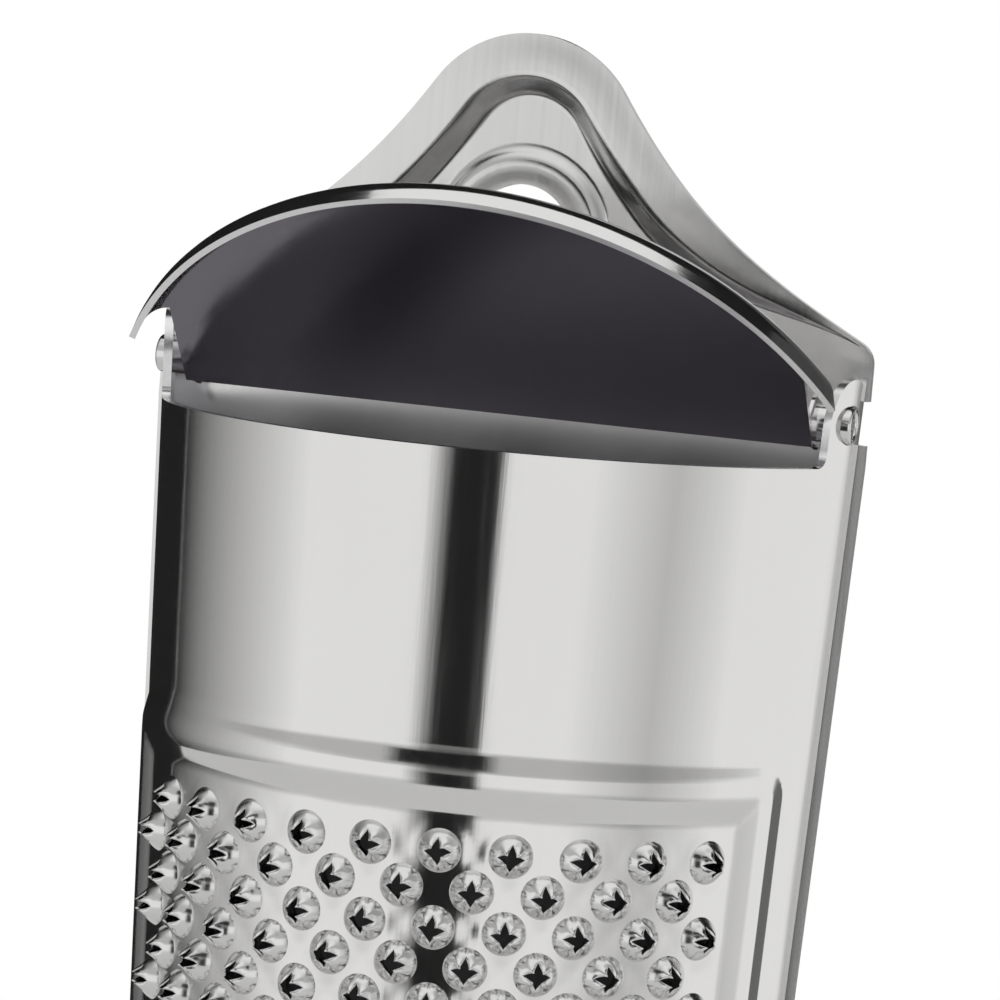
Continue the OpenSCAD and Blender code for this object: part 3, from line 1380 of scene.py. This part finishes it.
@dataclass
class HingeRivet:
    """Short tubular rivet that carries the lid in one ear, sized in millimetres."""

    layout: Layout
    finishes: Finishes
    side: Side
    proud: float = 0.3
    slack: float = 0.05
    head_r: float = 1.38
    head_t: float = 0.4
    head_steps: tuple[tuple[float, float], ...] = ((0.0, 0.25), (0.08, 0.06), (0.2, 0.0))
    wall: float = 0.4
    depth: float = 1.6
    bore_cone: float = 0.25
    axis_r: float = 0.001
    around: int = 32
    rim_steps: int = 9

    def profile(self) -> list[tuple[float, float]]:
        """Half section from the inner end to the hollow outer end.

        Returns:
            Distances along X, each with a radius.
        """
        layout = self.layout
        shank = layout.ear_hole_r - self.slack
        reach = layout.axis_back - layout.hinge_y
        tip = math.sqrt(layout.radius(layout.hinge_z) ** 2 - reach ** 2) + self.proud
        seat = layout.lid_neck - layout.lid_t
        head = seat - self.head_t
        lip = self.wall / 2
        rim = [
            (tip - lip + lip * math.sin(t), shank - lip + lip * math.cos(t))
            for t in spread(0.0, math.pi, self.rim_steps)
        ]
        inner = [(head, self.axis_r)]
        inner += [(head + along, self.head_r - inward) for along, inward in self.head_steps]
        inner += [(seat, self.head_r), (seat, shank)]
        bottom = tip - self.depth
        return inner + rim + [(bottom, shank - self.wall), (bottom - self.bore_cone, self.axis_r)]

    def ring(self, x: float, r: float) -> list[Vector]:
        """Ring of points round the hinge line.

        Args:
            x: distance from the middle of the grater.
            r: radius.

        Returns:
            The points.
        """
        y, z = self.layout.hinge_y, self.layout.hinge_z
        turns = spread(0.0, 2 * math.pi, self.around + 1)[:-1]
        across = self.side.value * x
        return [Vector((across, y + r * math.cos(t), z + r * math.sin(t))) for t in turns]

    def build(self) -> None:
        """Builds and dresses the rivet."""
        draft = MeshDraft()
        draft.rows([self.ring(x, r) for x, r in self.profile()], closed=True)
        node = f"hinge_rivet_{self.side.name.lower()}"
        rivet = draft.build(f"{node}_turned", None, self.layout.opened)
        dress(rivet, self.finishes.rivet)
        crease(rivet)
        tie(rivet, Body.LID, node)


@dataclass
class StoreFloor:
    """Partition under the store, which keeps its CAD shape and is dressed in the lighter inner
    steel, whose tint is painted light.
    """

    finishes: Finishes
    node: str = "compartment_floor"

    def build(self) -> None:
        """Dresses the node."""
        piece = frame["nodes"][self.node]
        piece.data.materials.clear()
        dress(piece, self.finishes.inside)
        LOG.info("%s: kept, dressed in %s", self.node, self.finishes.inside.name)


def hang(
    name: str, corners: Sequence[Triple], material: bpy.types.Material, sight: Sight
) -> bpy.types.Object:
    """Adds a flat sheet of the studio, which is not part of the object.

    Args:
        name: name of the sheet.
        corners: its four corners in order, in metres.
        material: its material.
        sight: what sees it; a sheet that only the metal sees casts no shadow.

    Returns:
        The sheet.
    """
    mesh = bpy.data.meshes.new(name)
    mesh.from_pydata(corners, [], [(0, 1, 2, 3)])
    mesh.materials.append(material)
    sheet = bpy.data.objects.new(name, mesh)
    bpy.context.scene.collection.objects.link(sheet)
    if sight is Sight.METAL:
        sheet.visible_camera = False
        sheet.visible_diffuse = False
        sheet.visible_shadow = False
    return sheet


def level_corners(half: float, near: float, far: float, z: float) -> list[Triple]:
    """Corners of a level sheet.

    Args:
        half: half its width along X.
        near: Y of its front edge.
        far: Y of its rear edge.
        z: its height.

    Returns:
        The corners in order.
    """
    return [(-half, near, z), (half, near, z), (half, far, z), (-half, far, z)]


@dataclass(frozen=True)
class Flag:
    """Upright dark card beside the grater that only its metal sees, with feathered sides.

    It stands across azimuths in degrees from the front towards the right.
    """

    name: str
    start: float
    end: float
    density: float = 1.0
    start_feather: float = 0.1
    end_feather: float = 0.1
    low: float = 0.0
    height: float = 0.5
    distance: float = 0.22

    def build(self) -> None:
        """Builds the card and turns it towards the grater."""
        middle = math.radians((self.start + self.end) / 2)
        half = self.distance * math.tan(math.radians((self.end - self.start) / 2))
        low, top = self.low, self.low + self.height
        corners = [(-half, 0.0, low), (half, 0.0, low), (half, 0.0, top), (-half, 0.0, top)]
        card = hang(self.name, corners, self.material(), Sight.METAL)
        card.location = (self.distance * math.sin(middle), -self.distance * math.cos(middle), 0.0)
        card.rotation_euler = (0.0, 0.0, middle)

    def material(self) -> bpy.types.Material:
        """Makes matt black that thins out to nothing at the sides.

        Returns:
            The material.
        """
        made, graph = new_material(self.name)
        place = graph.node("ShaderNodeTexCoord", {}, {}, "Generated")
        across = graph.node("ShaderNodeSeparateXYZ", {}, {"Vector": place}, "X")
        stops = [(0.0, 0.0), (self.start_feather, self.density)]
        stops += [(1.0 - self.end_feather, self.density), (1.0, 0.0)]
        cover = graph.node("ShaderNodeValToRGB", {"stops": stops}, {"Fac": across})
        clear = graph.node("ShaderNodeBsdfTransparent", {}, {})
        graph.surface(graph.blend(cover, clear, graph.matt(BLACK, 1.0)))
        return made


@dataclass(frozen=True)
class SoftLamp:
    """Large square lamp that looks at the grater and does not show in its metal."""

    name: str
    place: Triple
    power: float
    size: float = 1.0
    aim: Triple = (0.0, 0.0, 0.09)

    def build(self) -> None:
        """Builds the lamp."""
        data = bpy.data.lights.new(self.name, "AREA")
        data.size = self.size
        data.energy = self.power
        lamp = bpy.data.objects.new(self.name, data)
        lamp.location = self.place
        look = Vector(self.aim) - Vector(self.place)
        lamp.rotation_euler = look.to_track_quat("-Z", "Y").to_euler()
        lamp.visible_glossy = False
        bpy.context.scene.collection.objects.link(lamp)


@dataclass
class Studio:
    """Pale floor, white surround, soft lamps and dark flags out of the camera's sight.

    Sizes are in metres.
    """

    floor_tone: float = 0.86
    floor_roughness: float = 0.9
    floor_size: float = 6.0
    floor_near: float = 0.22
    floor_far: float = 0.45
    world_light: float = 0.6
    # The grey sheet overhead, with a clear eye above the grater.
    ceiling_size: float = 4.0
    ceiling_up: float = 0.4
    ceiling_density: float = 0.42
    ceiling_near: float = 1.05
    ceiling_far: float = 1.7
    eye_start: float = 0.12
    eye_end: float = 0.4
    # The black card under it, for the lid's edge.
    card_drop: float = 0.01
    card_near: float = 0.04
    card_far: float = 0.3
    card_half: float = 0.35
    # The dark stripes in the polished steel, and the lamps.
    flags: tuple[Flag, ...] = (
        Flag("front_flag", -11.5, 12.5, 1.0, 0.33, 0.08, height=0.118),
        Flag("mid_flag", -11.5, 12.5, 0.8, 0.33, 0.08, low=0.118, height=0.05),
        Flag("left_flag", -172.0, -112.0, 1.0, 0.05, 0.0),
        Flag("left_fade", -112.0, -50.0, 1.0, 0.0, 0.99),
        Flag("right_fade", 38.0, 90.0, 0.37, 0.5, 0.49),
        Flag("right_flag", 134.0, 168.0, 0.85, 0.15, 0.1),
        Flag("wide_flag", -19.0, 18.0, 1.0, 0.15, 0.15, low=0.168, height=0.08),
        Flag("lid_flag", 100.0, 140.0, 0.9, 0.2, 0.1, low=0.19, height=0.2),
    )
    lamps: tuple[SoftLamp, ...] = (
        SoftLamp("key", (-0.5, -0.9, 1.1), 3.8),
        SoftLamp("fill", (1.0, 0.1, 0.6), 3.4),
    )

    def build(self) -> None:
        """Builds floor, surround, flags, overhead sheets and lamps."""
        self.floor()
        self.world()
        for flag in self.flags:
            flag.build()
        self.ceiling()
        self.rear_card()
        for lamp in self.lamps:
            lamp.build()

    def floor(self) -> None:
        """Makes the pale floor, which runs out into the white surround."""
        made, graph = new_material("pale_floor")
        fade = graph.away(self.floor_near, self.floor_far)
        tone = self.floor_tone
        matt = graph.matt((tone, tone, tone, 1.0), self.floor_roughness)
        light = {"Color": WHITE, "Strength": self.seen(graph)}
        white = graph.node("ShaderNodeEmission", {}, light)
        graph.surface(graph.blend(fade, matt, white))
        half = self.floor_size / 2
        hang("floor", level_corners(half, -half, half, 0.0), made, Sight.ALL)

    def ceiling(self) -> None:
        """Hangs a thin grey sheet overhead that only the metal sees."""
        made, graph = new_material("ceiling")
        reach = graph.away(self.ceiling_far, self.ceiling_near)
        cover = reach * graph.away(self.eye_start, self.eye_end) * self.ceiling_density
        clear = graph.node("ShaderNodeBsdfTransparent", {}, {})
        black = graph.node("ShaderNodeBsdfDiffuse", {}, {"Color": BLACK})
        graph.surface(graph.blend(cover, clear, black))
        half = self.ceiling_size / 2
        hang("ceiling", level_corners(half, -half, half, self.ceiling_up), made, Sight.METAL)

    def rear_card(self) -> None:
        """Hangs a small black card overhead behind the grater, for the lid's rolled edge."""
        made, graph = new_material("rear_card")
        graph.surface(graph.matt(BLACK, 1.0))
        z = self.ceiling_up - self.card_drop
        corners = level_corners(self.card_half, self.card_near, self.card_far, z)
        hang("rear_card", corners, made, Sight.METAL)

    def seen(self, graph: ShaderGraph) -> Wire:
        """Light level that is white to the camera and in gloss, and softer as a lamp.

        Args:
            graph: the tree that uses it.

        Returns:
            The strength of the surround.
        """
        shown = graph.node("ShaderNodeLightPath", {}, {}, "Is Camera Ray")
        for ray in ("Is Glossy Ray", "Is Transmission Ray"):
            other = graph.node("ShaderNodeLightPath", {}, {}, ray)
            shown = graph.node("ShaderNodeMath", {"operation": "MAXIMUM"}, {0: shown, 1: other})
        return shown * (1.0 - self.world_light) + self.world_light

    def world(self) -> None:
        """Makes a white surround that also shows in the metal."""
        world = bpy.data.worlds.new("surround")
        bpy.context.scene.world = world
        world.use_nodes = True
        graph = ShaderGraph(world.node_tree)
        light = {"Color": WHITE, "Strength": self.seen(graph)}
        shader = graph.node("ShaderNodeBackground", {}, light)
        graph.node("ShaderNodeOutputWorld", {}, {"Surface": shader})


@dataclass(frozen=True)
class PhotoCamera:
    """Camera at the photograph's viewing angle, in degrees and millimetres."""

    azimuth: float = 15.82
    elevation: float = 4.865
    roll: float = 5.04
    distance: float = 350.0
    aim: Triple = (3.53, -12.35, 126.2)
    focal_px: float = 5268.7
    image_px: float = 1000.0
    sensor: float = 36.0
    clip_start: float = 10.0

    def build(self) -> None:
        """Makes the camera and selects it."""
        a, e, roll = (math.radians(v) for v in (self.azimuth, self.elevation, self.roll))
        back = Vector((math.sin(a) * math.cos(e), -math.cos(a) * math.cos(e), math.sin(e)))
        level = Vector((math.cos(a), math.sin(a), 0.0))
        upright = back.cross(level)
        right = level * math.cos(roll) + upright * math.sin(roll)
        up = upright * math.cos(roll) - level * math.sin(roll)
        data = bpy.data.cameras.new("photo_camera")
        data.sensor_width = self.sensor
        data.lens = self.sensor * self.focal_px / self.image_px
        data.clip_start = self.clip_start * MM
        camera = bpy.data.objects.new("photo_camera", data)
        place = (Vector(self.aim) + back * self.distance) * MM
        turn = Matrix((right, up, back)).transposed().to_4x4()
        camera.matrix_world = Matrix.Translation(place) @ turn
        bpy.context.scene.collection.objects.link(camera)
        bpy.context.scene.camera = camera


def main() -> None:
    logging.basicConfig(level=logging.INFO, format="%(name)s: %(message)s")
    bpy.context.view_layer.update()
    layout = Layout.from_frame()
    finishes = Finishes.make()
    GraterShell(layout, finishes).build()
    BackPlate(layout, finishes).build()
    Lid(layout, finishes).build()
    for side in Side:
        HingeRivet(layout, finishes, side).build()
    StoreFloor(finishes).build()
    Studio().build()
    PhotoCamera().build()
    bpy.context.scene.view_settings.view_transform = "Standard"


if __name__ == "__main__":
    main()
